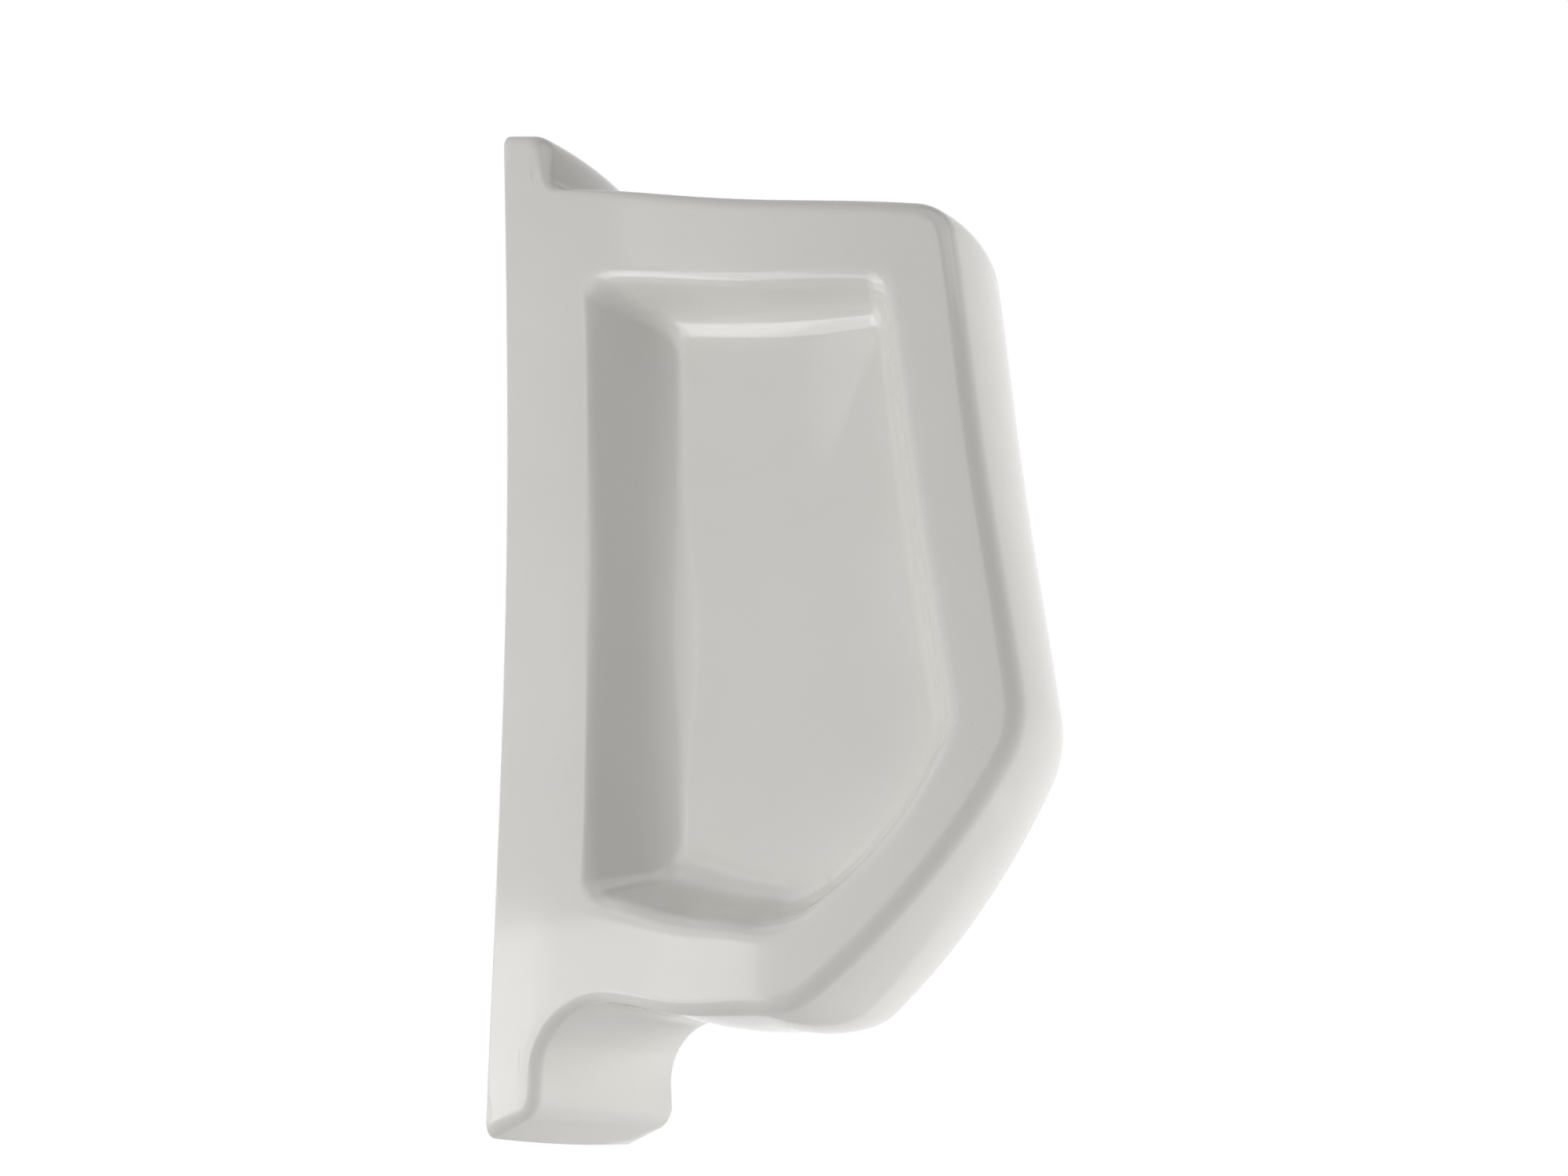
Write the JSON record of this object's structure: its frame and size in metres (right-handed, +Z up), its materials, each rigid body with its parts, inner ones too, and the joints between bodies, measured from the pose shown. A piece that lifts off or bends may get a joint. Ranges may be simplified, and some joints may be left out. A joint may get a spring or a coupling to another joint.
{
  "type": "urinal privacy screen",
  "caption": "Wall-hung glazed china privacy screen with a deep wall flange, a recess in each side and hidden steel hanger fixings.",
  "frame": {"origin": "on the wall plane, midway between the two screw holes of the hanger bracket", "axes": "+X out from the wall along the screen, +Y across its thickness, +Z up"},
  "size_m": [0.3274, 0.1706, 0.6632],
  "materials": {
    "glazed_china": "gloss white glaze on vitreous china",
    "pressed_steel": "galvanised pressed steel",
    "zinc_plate": "bright zinc plate",
    "black_rubber": "matt black rubber"
  },
  "bodies": {
    "root": {"screen_body": "glazed_china", "hanger_bracket": "pressed_steel", "hook_liner": "black_rubber", "lower_plate": "pressed_steel", "lower_stud": "zinc_plate", "stud_bush": "black_rubber", "stud_washer": "zinc_plate", "wing_nut": "zinc_plate"}
  },
  "joints": []
}
